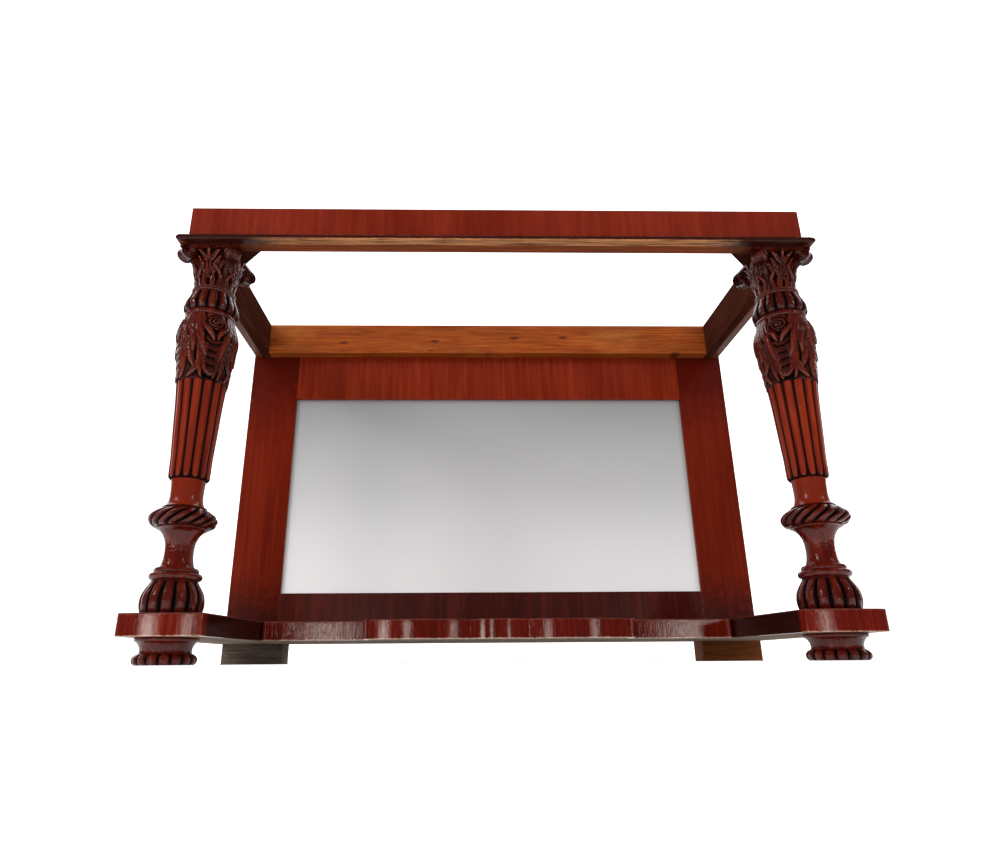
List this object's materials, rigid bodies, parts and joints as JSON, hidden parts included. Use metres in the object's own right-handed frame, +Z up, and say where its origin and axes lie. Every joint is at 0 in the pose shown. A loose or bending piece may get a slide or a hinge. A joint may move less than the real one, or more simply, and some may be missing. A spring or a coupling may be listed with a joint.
{
  "type": "pier table",
  "caption": "Pier table with a framed mirror back, carved and reeded columns, a shaped plinth on turned feet, and a moulded frieze frame that is open for a slab.",
  "frame": {"origin": "on the floor, under the middle of the overall box", "axes": "+X along the front to the viewer's right, +Y from the front towards the wall, +Z up"},
  "size_m": [1.3, 0.554, 0.89],
  "materials": {
    "carved_mahogany": "french polished, dark in the carving",
    "veneer_mahogany": "french polished cross-grained veneer",
    "moulding_mahogany": "french polished, rubbed on the lower lip",
    "edging_mahogany": "french polished, rubbed along the arrises",
    "frame_mahogany": "french polished",
    "rail_pine": "bare, aged and stained",
    "stained_pine": "bare, darkened",
    "board_pine": "bare and dusty",
    "grey_block": "bare, ebonised by age",
    "brown_block": "bare, stained",
    "mirror_glass": "silvered plate glass",
    "dowel_wood": "bare beech",
    "screw_steel": "dull"
  },
  "bodies": {
    "root": {"back_bottom_rail": "frame_mahogany", "back_foot_left": "grey_block", "back_foot_right": "brown_block", "back_foot_screws": "screw_steel", "back_stile_left": "frame_mahogany", "back_stile_right": "frame_mahogany", "back_top_rail": "frame_mahogany", "backboard_1": "board_pine", "backboard_2": "board_pine", "backboard_3": "board_pine", "backboard_screws": "screw_steel", "base_turning_left": "carved_mahogany", "base_turning_right": "carved_mahogany", "capital_dowels": "dowel_wood", "capital_left": "carved_mahogany", "capital_right": "carved_mahogany", "corner_block_left": "stained_pine", "corner_block_right": "stained_pine", "frame_screws": "screw_steel", "frieze_front_facing": "veneer_mahogany", "frieze_front_rail": "rail_pine", "frieze_moulding_front": "moulding_mahogany", "frieze_moulding_left": "moulding_mahogany", "frieze_moulding_right": "moulding_mahogany", "frieze_rear_rail": "rail_pine", "frieze_side_facing_left": "veneer_mahogany", "frieze_side_facing_right": "veneer_mahogany", "frieze_side_rail_left": "stained_pine", "frieze_side_rail_right": "stained_pine", "front_foot_left": "carved_mahogany", "front_foot_right": "carved_mahogany", "leaf_vase_left": "carved_mahogany", "leaf_vase_right": "carved_mahogany", "mirror_plate": "mirror_glass", "mirror_slips": "board_pine", "plinth_centre_board": "board_pine", "plinth_dowels": "dowel_wood", "plinth_end_board_left": "board_pine", "plinth_end_board_right": "board_pine", "plinth_end_edging_left": "edging_mahogany", "plinth_end_edging_right": "edging_mahogany", "plinth_front_edging": "edging_mahogany", "plinth_top_veneer": "veneer_mahogany", "reeded_shaft_left": "carved_mahogany", "reeded_shaft_right": "carved_mahogany", "rope_ring_left": "carved_mahogany", "rope_ring_right": "carved_mahogany", "stile_dowels": "dowel_wood"}
  },
  "joints": []
}
